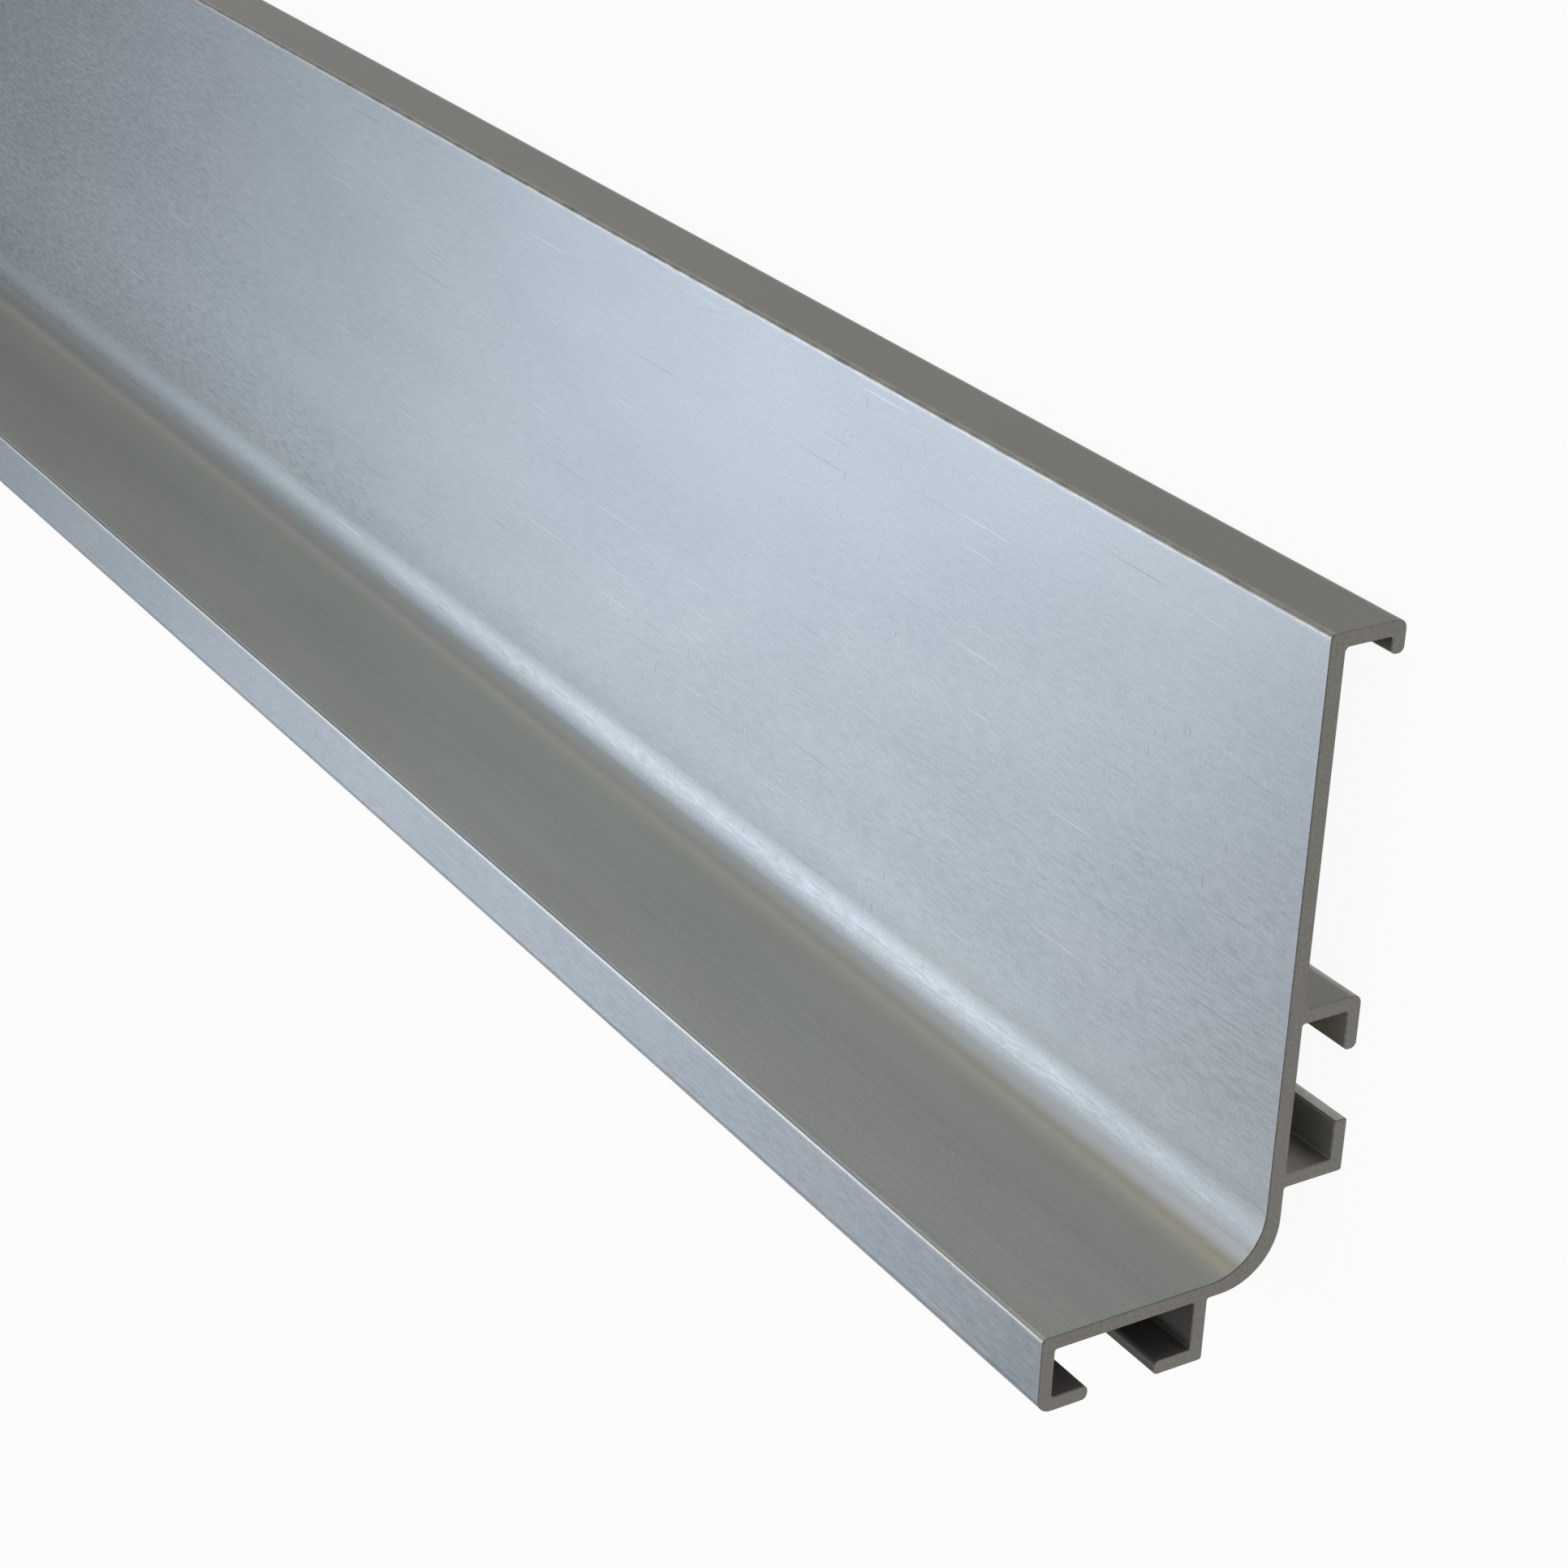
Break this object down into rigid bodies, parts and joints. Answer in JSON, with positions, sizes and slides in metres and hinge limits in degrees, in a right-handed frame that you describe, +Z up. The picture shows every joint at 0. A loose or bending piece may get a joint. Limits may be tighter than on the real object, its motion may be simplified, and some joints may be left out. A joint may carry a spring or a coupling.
{
  "type": "handleless finger pull profile",
  "caption": "Extruded handleless finger pull profile: a flat web bends into a finger shelf with a front lip, with hooked T slots behind the web and under the shelf.",
  "frame": {"origin": "middle of the bar's length and width, on the floor under it", "axes": "+X along the bar towards one sawn end, +Y across it from the foot (shelf side) to the head, +Z up; the bar lies on its back, with the finger face of the web upwards"},
  "size_m": [1, 0.057, 0.0263],
  "materials": {
    "satin_aluminium": "clear anodised, brushed along the length on the show faces"
  },
  "bodies": {
    "root": {"pull_profile": "satin_aluminium"}
  },
  "joints": []
}
